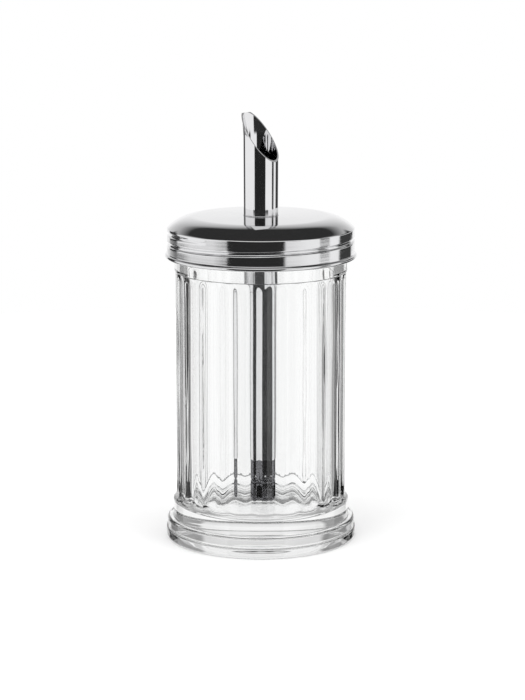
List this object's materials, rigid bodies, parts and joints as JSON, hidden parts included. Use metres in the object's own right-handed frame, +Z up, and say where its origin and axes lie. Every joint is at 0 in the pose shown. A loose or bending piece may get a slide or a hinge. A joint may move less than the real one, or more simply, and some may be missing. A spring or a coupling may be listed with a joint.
{
  "type": "sugar dispenser",
  "caption": "Fluted glass sugar jar with a domed steel screw cap, a slant-cut dosing tube down to the jar's floor and a small gravity flap in the tube's lower end.",
  "frame": {"origin": "middle of the foot's underside, on the surface that the jar stands on", "axes": "+Z up along the jar's axis, -Y towards the viewer of the front, +X to the viewer's right"},
  "size_m": [0.0756, 0.0756, 0.1686],
  "materials": {
    "jar_glass": "clear pressed glass, glossy",
    "seal_rubber": "pale food-safe rubber, matt",
    "cap_steel": "satin dome, polished skirt",
    "tube_steel": "polished stainless steel",
    "insert_steel": "dull drawn stainless steel",
    "pin_steel": "plain stainless wire",
    "flap_steel": "plain stainless sheet"
  },
  "bodies": {
    "jar": {"glass_jar": "jar_glass"},
    "seal": {"lid_seal": "seal_rubber"},
    "lid": {"screw_cap": "cap_steel", "dosing_tube": "tube_steel", "dosing_insert": "insert_steel", "flap_pin": "pin_steel"},
    "flap": {"dosing_flap": "flap_steel"}
  },
  "joints": [
    {"name": "lid_rise", "type": "slide", "parent": "jar", "child": "seal", "axis": [0, 0, 1], "range_m": [0, 0.006]},
    {"name": "lid_turn", "type": "hinge", "parent": "seal", "child": "lid", "pos_m": [0, 0, 0.119], "axis": [0, 0, 1], "range_deg": [0, 540]},
    {"name": "flap_swing", "type": "hinge", "parent": "lid", "child": "flap", "pos_m": [0.00294, -0.00214, 0.0251], "axis": [0.5878, 0.809, 0], "range_deg": [0, 75]}
  ],
  "couplings": [
    {"joint": "lid_rise", "follows": "lid_turn", "m_per_rad": 0.00063662}
  ]
}
